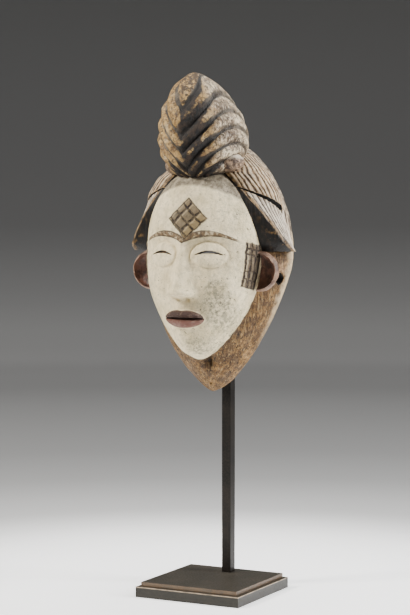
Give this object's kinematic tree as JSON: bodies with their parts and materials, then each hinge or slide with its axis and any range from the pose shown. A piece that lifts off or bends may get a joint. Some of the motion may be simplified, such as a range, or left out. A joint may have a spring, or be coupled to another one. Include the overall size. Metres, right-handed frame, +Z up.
{
  "type": "face mask on a display stand",
  "caption": "Hollow carved wooden face mask with a ridged crest, side tresses and cupped ears, held up by a square steel post on a stepped base.",
  "frame": {"origin": "middle of the base's underside", "axes": "+Z up, the mask looks along -Y, +X is towards the mask's own left ear"},
  "size_m": [0.1754, 0.1326, 0.5026],
  "materials": {
    "mask_wood": "carved softwood with worn white clay on the face, blackened hair and bare brown rim",
    "post_steel": "near-black patinated steel bar with rubbed edges",
    "base_steel": "dark bronze-brown patina, worn to copper brown on the edges"
  },
  "bodies": {
    "root": {"mask": "mask_wood", "stand_post": "post_steel", "stand_base": "base_steel"}
  },
  "joints": []
}
